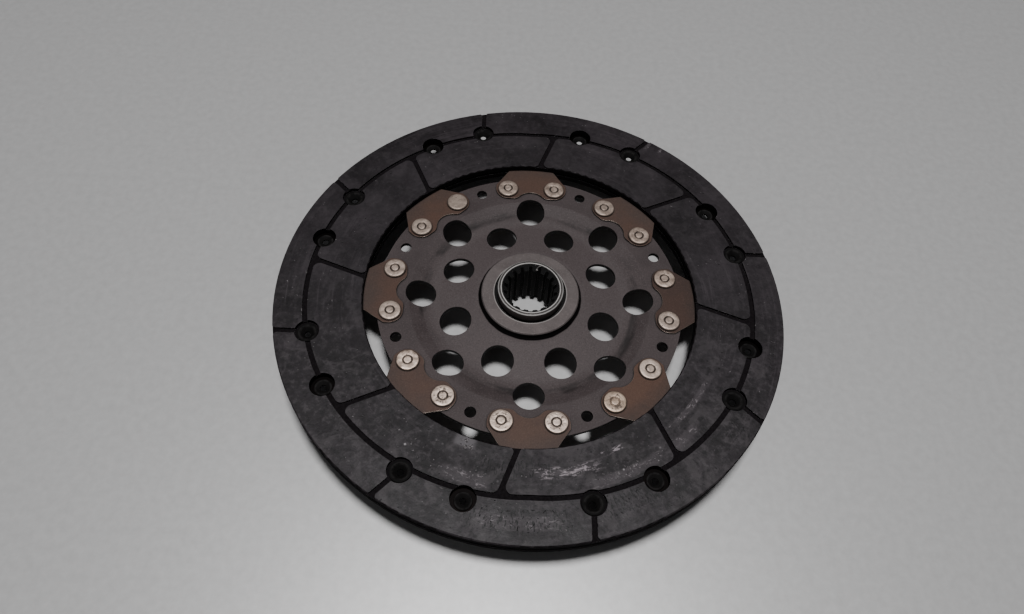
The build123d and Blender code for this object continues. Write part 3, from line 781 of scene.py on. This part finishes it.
# ---- friction facings ----
# Two rings moulded from organic friction material, near black and matte. The grooves let dust and
# air out; each facing is held by its own eight rivets and has eight holes for the other's tails.
FACING_EDGE = 0.3 * MM
FACE_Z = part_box("facing_gearbox_side")[1].z
MIDDLE_Z = (FACE_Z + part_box("facing_flywheel_side")[0].z) / 2
GROOVE_WALL = FACE_Z - MIDDLE_Z - 0.3 * MM  # half the height that holds walls and groove floors
FACING_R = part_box("facing_gearbox_side")[1].x
FACING_BORE_R = 77.5 * MM
GROOVE_HALF = 1.15 * MM
RING_GROOVE_R = 99.0 * MM
RING_GROOVE_SHIFT = 4.4 * MM
OUTER_GROOVE_NICKS = (6.5, 14.0)  # mm from the ring of holes
HOLE_RING_R = 102.7 * MM
HOLE_R = 5.5 * MM
HOLE_HALF_ANGLE = 14.625  # degrees each side of a segment's middle
COMPOUND_DARK = (0.0078, 0.0060, 0.0072)
COMPOUND_LIGHT = (0.0240, 0.0195, 0.0225)
COMPOUND_RUBBED = (0.046, 0.038, 0.043)
CRUMB_PALE = (0.046, 0.039, 0.043)
CRUMB_DIM = (0.0040, 0.0032, 0.0038)
GRAIN_PALE = (0.050, 0.043, 0.047)
CLOUD_PALE = (0.052, 0.045, 0.048)
CLOUD_DIM = (0.0075, 0.0050, 0.0068)
SCRAPED = (0.070, 0.059, 0.065)
FLAKED = (0.22, 0.195, 0.205)
STREAKED = (0.30, 0.26, 0.28)
LIFTED = (0.10, 0.092, 0.098)
CRACKED = (0.0018, 0.0015, 0.0018)
FLECKED = (0.27, 0.25, 0.26)
DUST = (0.16, 0.15, 0.15)
PORE = (0.003, 0.003, 0.003)
GROOVE_DARK = (0.0050, 0.0041, 0.0047)
GROOVE_LIGHT = (0.0100, 0.0084, 0.0094)
SCUFF_DARK = (0.022, 0.019, 0.021)
SCUFF_LIGHT = (0.26, 0.24, 0.245)
PIT_DARK = (0.003, 0.003, 0.003)
PIT_LIGHT = (0.012, 0.011, 0.012)
FACING_EDGE_DULL = (0.024, 0.021, 0.023)
FACING_EDGE_RUBBED = (0.15, 0.138, 0.142)
# Worn arcs: middle and half angle in degrees, radius and half width in mm.
SCRAPED_ARCS = (
    (-80.0, 8.0, 88.3, 1.4), (-65.0, 10.0, 95.4, 2.4), (-38.5, 9.0, 89.0, 1.4),
    (-106.5, 6.5, 94.4, 3.2), (-109.5, 2.8, 79.8, 2.6), (-47.0, 4.0, 96.0, 2.2),
    (-92.0, 9.0, 108.5, 3.0), (57.0, 0.5, 114.0, 3.6), (53.5, 0.4, 115.2, 2.2),
)
STREAKED_ARCS = ((-80.0, 9.0, 88.3, 2.6), (-66.0, 3.5, 84.5, 1.2))
LIFTED_ARCS = ((-109.3, 3.4, 79.9, 2.6),)
CRACKED_ARCS = ((-92.0, 14.0, 108.0, 5.5), (-67.0, 8.0, 106.0, 5.0), (-94.0, 12.0, 87.0, 4.0))
FLECKED_ARCS = ((-124.0, 9.0, 89.5, 9.0), (-107.0, 9.0, 94.0, 5.0), (-62.0, 9.0, 95.5, 3.4))
# Marks that stand alone: angle in degrees, radius, length and width in mm, lean in degrees.
SCUFFS = (
    (180.0, 112.5, 1.6, 0.7, 20), (181.7, 109.5, 1.2, 0.6, 80), (184.0, 107.0, 1.5, 0.7, 40),
    (178.5, 109.0, 1.1, 0.6, 0), (186.0, 91.0, 1.4, 0.8, 0), (155.5, 113.0, 2.2, 0.5, 10),
    (107.5, 97.5, 2.0, 0.5, 0), (114.5, 95.5, 1.6, 0.5, 15), (75.0, 113.0, 2.6, 0.4, 80),
    (67.0, 99.5, 1.8, 0.5, 5), (57.0, 114.0, 6.4, 0.45, 90), (53.5, 115.0, 4.2, 0.4, 90),
    (37.5, 89.5, 1.9, 0.5, 30), (13.0, 92.0, 1.5, 0.6, 0), (13.0, 87.0, 1.2, 0.6, 50),
    (-11.6, 113.4, 5.0, 0.22, 86), (-12.4, 113.5, 5.2, 0.22, 88), (-13.3, 113.2, 4.6, 0.22, 90),
    (-9.0, 89.4, 6.5, 0.2, 2), (-14.5, 89.0, 7.5, 0.2, 4), (-23.5, 96.5, 1.3, 0.6, 0),
    (-25.5, 111.0, 1.4, 0.6, 60), (-42.0, 96.0, 1.5, 0.7, 20), (-47.0, 96.5, 1.2, 0.7, 0),
    (-90.0, 107.0, 1.4, 0.7, 20), (-102.0, 109.5, 1.2, 0.7, 0), (-143.0, 88.0, 1.5, 0.6, 0),
    (-138.0, 99.0, 1.6, 0.7, 20), (-158.0, 105.5, 1.4, 0.7, 50), (121.5, 117.6, 5.2, 1.5, 0),
)
# Fields of small marks: angles, radii, how many, longest and widest in mm, spread of their lean.
SCUFF_FIELDS = (
    (-92, -71, 86.4, 89.8, 30, 4.0, 0.9, 12), (-75, -54, 92.0, 97.4, 24, 2.2, 1.0, 60),
    (-116, -98, 90.0, 97.4, 22, 2.0, 1.0, 90), (-112, -106, 78.2, 82.5, 8, 4.0, 2.4, 40),
    (-131, -118, 84.0, 96.0, 16, 2.0, 1.0, 90), (-50, -30, 87.5, 90.5, 18, 3.6, 0.8, 10),
    (-101, -82, 103.5, 112.5, 12, 1.6, 1.0, 90), (-160, -40, 79.0, 97.0, 34, 1.0, 0.7, 90),
    (0, 360, 79.0, 116.0, 60, 0.8, 0.5, 90),
)
PIT_FIELDS = (
    (-101, -81, 103.0, 112.5, 46, 2.2, 0.7, 100), (-72, -62, 102.0, 110.0, 16, 1.8, 0.7, 90),
    (-120, -60, 79.0, 97.0, 26, 1.4, 0.6, 90), (0, 360, 79.0, 116.0, 70, 0.9, 0.6, 90),
)
WEAR_SEED = 5
MARK_SINK = 0.2 * MM  # depth of a mark that stands alone
FIELD_SINK = (0.08, 0.22)  # least and greatest depth of a mark in a field, mm
FIELD_LENGTH = (0.3, 1.0)  # shares of the longest and the widest in the field
FIELD_WIDTH = (0.4, 1.0)
LUMPY = (0.45, 1.15)  # how far a mark's corners lie in and out
BIG_MARK = 0.9 * MM  # half length from which a mark has finer faces
SCUFFED, PITTED = range(2)  # kinds of marks
# Nicks in the edges. Their shares on the rim, the bore, the ring groove and the outer grooves are
# running totals, and the rest are round the holes.
NICKS = 190
NICK_SIZES = ((0.35, 1.3), (0.18, 0.42), (0.2, 0.4))  # half length, half width and depth, mm
NICKS_SCUFFED = 0.6  # the rest are pits
NICKS_ON_RIM = 0.22
NICKS_TO_BORE = 0.42
NICKS_TO_RING_GROOVE = 0.74
NICKS_TO_OUTER_GROOVES = 0.88


def friction_material():
    """Charcoal compound with a faint purple cast, rubbed in streaks round the axis."""
    finish = Finish("friction material")
    blotch = finish.noise(38, 6, 0.6)
    grain = finish.noise(1500, 6, 0.65)
    crumb = finish.noise(400, 5, 0.7)
    cloud = finish.noise(95, 5, 0.62, bend=0.8)
    streak = finish.noise(1.0, 5, 0.62, finish.around(2.6, 620))
    # The crumb and cloud patches are the compound's own, painted stronger on the near side where
    # they show in the sheen: partly real, partly painted sheen.
    near = finish.between(finish.rise(finish.y, 20 * MM, -60 * MM), 0.35, 1.0)
    colour = finish.shade(blotch, (0.36, COMPOUND_DARK), (0.64, COMPOUND_LIGHT))
    patch = finish.rise(finish.noise(26, 3), 0.40, 0.62)
    rubbed = finish.product(finish.rise(streak, 0.50, 0.72), patch, 0.6)
    colour = finish.over(colour, COMPOUND_RUBBED, rubbed)
    pale = finish.product(finish.rise(crumb, 0.51, 0.64), near, 0.65)
    colour = finish.over(colour, CRUMB_PALE, pale)
    dim = finish.product(finish.rise(crumb, 0.47, 0.37), near, 0.8)
    colour = finish.over(colour, CRUMB_DIM, dim)
    colour = finish.over(colour, GRAIN_PALE, finish.rise(grain, 0.58, 0.88))
    pale = finish.product(finish.rise(cloud, 0.52, 0.64), near, 0.45)
    colour = finish.over(colour, CLOUD_PALE, pale)
    dim = finish.product(finish.rise(cloud, 0.47, 0.36), near, 0.6)
    colour = finish.over(colour, CLOUD_DIM, dim)
    colour = worn_arcs(finish, colour, cloud)
    dust = finish.specks(620, 0.16, 0.075)
    colour = finish.over(colour, DUST, finish.product(dust, 0.6))
    pores = finish.specks(430, 0.22, 0.07)
    colour = finish.over(colour, PORE, finish.product(pores, 0.85))
    normal = finish.relief(crumb, 0.13 * MM, finish.relief(grain, 0.06 * MM))
    normal = finish.relief(finish.math("ADD", streak, pores), -0.05 * MM, normal)
    outside = finish.rise(finish.radius, RING_GROOVE_R - 3 * MM, RING_GROOVE_R + 3 * MM)
    uneven = finish.between(finish.noise(120, 4, 0.6), -0.16, 0.16)
    rough = finish.math("ADD", finish.between(outside, 0.58, 0.52), uneven)
    return finish.done(colour, rough, 0.0, normal, specular=0.24)


def worn_arcs(finish, colour, cloud):
    """Lays the scraped, streaked, lifted, cracked and flecked arcs over a colour."""
    torn = finish.noise(1.0, 5, 0.75, finish.around(34, 760), bend=0.6)
    scraped = finish.arcs(SCRAPED_ARCS)
    colour = finish.over(colour, SCRAPED, finish.product(scraped, 0.4))
    flaked = finish.product(scraped, finish.rise(torn, 0.55, 0.64), 0.7)
    colour = finish.over(colour, FLAKED, flaked)
    drawn = finish.noise(1.0, 4, 0.7, finish.around(20, 720), bend=0.5)
    streaked = finish.product(finish.arcs(STREAKED_ARCS), finish.rise(drawn, 0.51, 0.57), 0.75)
    colour = finish.over(colour, STREAKED, streaked)
    lifted = finish.product(finish.arcs(LIFTED_ARCS), finish.rise(cloud, 0.40, 0.50), 0.8)
    colour = finish.over(colour, LIFTED, lifted)
    split = finish.noise(1.0, 4, 0.6, finish.around(125, 420))
    cracked = finish.product(finish.arcs(CRACKED_ARCS), finish.rise(split, 0.545, 0.58), 0.97)
    colour = finish.over(colour, CRACKED, cracked)
    flecked = finish.product(finish.arcs(FLECKED_ARCS), finish.specks(390, 0.26, 0.20), 0.8)
    return finish.over(colour, FLECKED, flecked)


def groove_dust_and_shade():
    """Walls and floors of the grooves and holes, dull, with black dust and painted shade."""
    finish = Finish("dust in the grooves")
    grain = finish.noise(900, 5, 0.65)
    colour = finish.shade(grain, (0.34, GROOVE_DARK), (0.66, GROOVE_LIGHT))
    return finish.done(colour, 0.92, 0.0, finish.relief(grain, 0.08 * MM), specular=0.04)


def broken_material(name, dark, light):
    """Friction material where it has chipped: coarse and unevenly dusty."""
    finish = Finish(name)
    grain = finish.noise(1900, 5, 0.7)
    colour = finish.shade(grain, (0.46, dark), (0.66, light))
    return finish.done(colour, 0.8, 0.0, finish.relief(grain, 0.10 * MM), specular=0.3)


def rubbed_edge():
    """Edges of the facings, polished paler in patches."""
    finish = Finish("rubbed facing edge")
    patch = finish.rise(finish.noise(210, 4, 0.6), 0.42, 0.66)
    colour = finish.over(FACING_EDGE_DULL, FACING_EDGE_RUBBED, patch)
    return finish.done(colour, 0.5, 0.0, finish.relief(finish.noise(1500, 4), 0.05 * MM))


def on_circle(radius, degrees, height=FACE_Z):
    """A point at a radius and an angle, in degrees from +X."""
    turn = math.radians(degrees)
    return Vector((radius * math.cos(turn), radius * math.sin(turn), height))


def lump(shape, place, half, lean, kind, dice):
    """Adds a rough stone to a cutter, with its half sizes and its lean about Z in degrees."""
    finer = 2 if half[0] > BIG_MARK else 1
    made = bmesh.ops.create_icosphere(shape, subdivisions=finer, radius=1.0)["verts"]
    for corner in made:
        corner.co *= dice.uniform(*LUMPY)
        corner.co = Vector([along * size for along, size in zip(corner.co, half)])
    turn = Matrix.Translation(place) @ Matrix.Rotation(math.radians(lean), 4, "Z")
    bmesh.ops.transform(shape, matrix=turn, verts=made)
    for face in {face for corner in made for face in corner.link_faces}:
        face.material_index = kind


def edge_place(dice):
    """A random point on one of the upper facing's edges, with the edge's direction in degrees."""
    kind = dice.random()
    turn = dice.uniform(0.0, 360.0)
    segment = dice.randrange(SEGMENTS) * 360.0 / SEGMENTS + 90.0
    side = dice.choice((-1.0, 1.0))
    if kind < NICKS_ON_RIM:
        return on_circle(FACING_R - 0.1 * MM, turn), turn + 90.0
    if kind < NICKS_TO_BORE:
        return on_circle(FACING_BORE_R + 0.1 * MM, turn), turn + 90.0
    if kind < NICKS_TO_RING_GROOVE:
        place = on_circle(RING_GROOVE_R + side * GROOVE_HALF, turn)
        place.x += math.copysign(RING_GROOVE_SHIFT, place.x)
        return place, turn + 90.0
    if kind < NICKS_TO_OUTER_GROOVES:
        hole = on_circle(HOLE_RING_R, segment + HOLE_HALF_ANGLE)
        outwards = on_circle(1.0, segment, 0.0)
        aside = on_circle(1.0, segment + 90.0, 0.0)
        reach = dice.uniform(*OUTER_GROOVE_NICKS) * MM
        return hole + outwards * reach + aside * side * GROOVE_HALF, segment
    hole = on_circle(HOLE_RING_R, segment + side * HOLE_HALF_ANGLE)
    return hole + on_circle(HOLE_R, turn, 0.0), turn + 90.0


def wear(seed):
    """The cutter for everything that has been chipped and scraped out of the upper facing."""
    dice = random.Random(seed)
    shape = bmesh.new()
    taken = []

    def cut(place, half, lean, kind):
        """Adds one mark, unless it would touch another."""
        if all((place - other).length > reach + half[0] for other, reach in taken):
            lump(shape, place, half, lean, kind, dice)
            taken.append((place, half[0]))

    for angle, radius, length, width, lean in SCUFFS:
        half = (length * MM / 2, width * MM / 2, MARK_SINK)
        cut(on_circle(radius * MM, angle), half, angle + 90.0 + lean, SCUFFED)
    for kind, fields in ((SCUFFED, SCUFF_FIELDS), (PITTED, PIT_FIELDS)):
        for start, stop, inner, outer, count, longest, widest, spread in fields:
            for _ in range(count):
                angle = dice.uniform(start, stop)
                length = longest * dice.uniform(*FIELD_LENGTH)
                width = min(length, widest * dice.uniform(*FIELD_WIDTH))
                half = (length * MM / 2, width * MM / 2, dice.uniform(*FIELD_SINK) * MM)
                place = on_circle(dice.uniform(inner, outer) * MM, angle)
                cut(place, half, angle + 90.0 + dice.uniform(-spread, spread), kind)
    for _ in range(NICKS):
        place, lean = edge_place(dice)
        half = [dice.uniform(*sizes) * MM for sizes in NICK_SIZES]
        cut(place, half, lean, SCUFFED if dice.random() < NICKS_SCUFFED else PITTED)
    mesh = bpy.data.meshes.new("wear")
    shape.to_mesh(mesh)
    shape.free()
    mesh.materials.append(broken_material("scuffed compound", SCUFF_DARK, SCUFF_LIGHT))
    mesh.materials.append(broken_material("pitted compound", PIT_DARK, PIT_LIGHT))
    return link(bpy.data.objects.new("wear", mesh))


facing_finish = friction_material()
facing_edge_finish = rubbed_edge()
# The facings' walls and groove floors get dark dust with painted shade.
sunk = (groove_dust_and_shade(), MIDDLE_Z - GROOVE_WALL, MIDDLE_Z + GROOVE_WALL)
wear_cutter = wear(WEAR_SEED)
for node, name, cutter in (
    ("facing_flywheel_side", "lower_facing", None),
    ("facing_gearbox_side", "upper_facing", wear_cutter),
):
    facing = worn_copy(
        node, name, FACING_EDGE, facing_finish, facing_edge_finish, cutter=cutter, sunk=sunk
    )
    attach(facing, "root")
    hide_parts(node)
bpy.data.objects.remove(wear_cutter)


# ---- facing rivets ----
# Sixteen hollow rivets, eight put in from each side. The dished head seats in the facing and the
# tail is flared over the segment; the bore stays open.
HOLLOW_BORE_R = 1.45 * MM
HOLLOW_HEAD_R = 4.7 * MM
HOLLOW_HEAD_T = 0.7 * MM
HOLLOW_SHANK_R = 2.5 * MM
HOLLOW_TAIL_R = 4.0 * MM
HOLLOW_TAIL_H = 1.0 * MM
WORN_RING_R = 3.4 * MM
SEAT_R = 4.2 * MM
SEAT_H = 1.2 * MM  # of facing left under the head
FACING_T = 3.2 * MM
FACING_BACK = FACE_Z - FACING_T
HOLLOW_RIVET_DARK = (0.003, 0.0027, 0.0027)
HOLLOW_RIVET_LIGHT = (0.006, 0.0055, 0.0055)
HOLLOW_RIVET_WORN = (0.022, 0.020, 0.020)


def dark_rivet_steel():
    """Near-black steel with a dull ring worn on head and tail."""
    finish = Finish("dark rivet steel")
    across, along, _ = finish.parts(finish.stored("spot", "Vector"))
    blotch = finish.noise(420, 5, 0.6)
    grain = finish.noise(1500, 5)
    # Dark all over, as dark as the holes the rivets sit in.
    colour = finish.shade(blotch, (0.3, HOLLOW_RIVET_DARK), (0.7, HOLLOW_RIVET_LIGHT))
    worn = finish.band(finish.distance(across, along), WORN_RING_R, 0.25 * MM, 0.40 * MM)
    worn = finish.product(worn, finish.rise(blotch, 0.38, 0.60), 0.5)
    colour = finish.over(colour, HOLLOW_RIVET_WORN, worn)
    return finish.done(colour, 0.74, 0.0, finish.relief(grain, 0.05 * MM), specular=0.08)


layout = Layout(
    "facing rivets",
    Rivets=RIVETS,
    Ring_radius=HOLE_RING_R,
    Half_angle=math.radians(HOLE_HALF_ANGLE),
    Bore_radius=HOLLOW_BORE_R,
    Head_radius=HOLLOW_HEAD_R,
    Head_thickness=HOLLOW_HEAD_T,
    Shank_radius=HOLLOW_SHANK_R,
    Tail_radius=HOLLOW_TAIL_R,
    Tail_height=HOLLOW_TAIL_H,
    Seat_height=SEAT_H,
)
size = layout.start
head_top = layout.math("ADD", size["Seat height"], size["Head thickness"])
tail_low = layout.math("SUBTRACT", -SHEET_T, size["Tail height"])
hollow = layout.turned(
    [
        (size["Bore radius"], 0.0),
        (layout.more(size["Head radius"], -1.2 * MM), head_top),
        (size["Head radius"], head_top),
        (size["Head radius"], size["Seat height"]),
        (SEAT_R, size["Seat height"]),
        (size["Shank radius"], 0.0),
        (size["Shank radius"], -SHEET_T),
        (size["Tail radius"], -SHEET_T),
        (size["Tail radius"], -SHEET_T - 0.4 * MM),
        (layout.more(size["Tail radius"], -0.4 * MM), tail_low),
        (layout.more(size["Tail radius"], -0.7 * MM), tail_low),
        (size["Bore radius"], -SHEET_T - 0.1 * MM),
    ],
    closed=True,
    rounding=0.14 * MM,
    cuts=0,
    steps=40,
)
x, y, angle, right = rivet_places(layout)
height = layout.math("MULTIPLY_ADD", right, 2.0 * (MIDDLE_Z - FACING_BACK), FACING_BACK)
place = layout.vector(x, y, height)
over = layout.math("MULTIPLY", right, math.pi)
rotation = layout.vector(0.0, over, angle)
rivets = layout.repeat(hollow, size["Rivets"], place, rotation, seed=17)
hollow_rivets = link(bpy.data.objects.new("facing_rivets", bpy.data.meshes.new("facing_rivets")))
layout.run(hollow_rivets, rivets, dark_rivet_steel())
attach(hollow_rivets, "root")
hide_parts(*[f"facing_rivet_{number:02d}" for number in range(1, RIVETS + 1)])


# ---- floor and light ----
# A plain pale floor under a soft lamp, with a weaker and larger lamp in front.
FLOOR_HALF = 3.0
FLOOR_DARK = (0.43, 0.425, 0.425)
FLOOR_LIGHT = (0.48, 0.475, 0.475)
ROOM_COLOUR = (0.9, 0.92, 0.95, 1)
ROOM_STRENGTH = 0.05

floor_mesh = bpy.data.meshes.new("floor")
corners = [(x * FLOOR_HALF, y * FLOOR_HALF, 0.0) for x, y in ((-1, -1), (1, -1), (1, 1), (-1, 1))]
floor_mesh.from_pydata(corners, [], [(0, 1, 2, 3)])
floor = link(bpy.data.objects.new("floor", floor_mesh))
floor_paint = Finish("pale floor")
floor_colour = floor_paint.shade(floor_paint.noise(260, 4), (0.3, FLOOR_DARK), (0.7, FLOOR_LIGHT))
floor_mesh.materials.append(floor_paint.done(floor_colour, 0.42, 0.2))


def lamp(name, place, width, power):
    """A round soft lamp that points at the hub: place and width in metres, power in watts."""
    data = bpy.data.lights.new(name, "AREA")
    data.shape = "ELLIPSE"
    data.size = data.size_y = width
    data.energy = power
    made = link(bpy.data.objects.new(name, data))
    made.location = place
    made.rotation_mode = "QUATERNION"
    made.rotation_quaternion = (-Vector(place)).to_track_quat("-Z", "Y")


lamp("overhead", place=(0.0, -0.07, 1.6), width=0.30, power=26)
lamp("front", place=(-0.7, -0.7, 1.3), width=0.9, power=0.8)
world = bpy.data.worlds.new("room")
world.use_nodes = True
world.node_tree.nodes["Background"].inputs["Color"].default_value = ROOM_COLOUR
world.node_tree.nodes["Background"].inputs["Strength"].default_value = ROOM_STRENGTH
bpy.context.scene.world = world
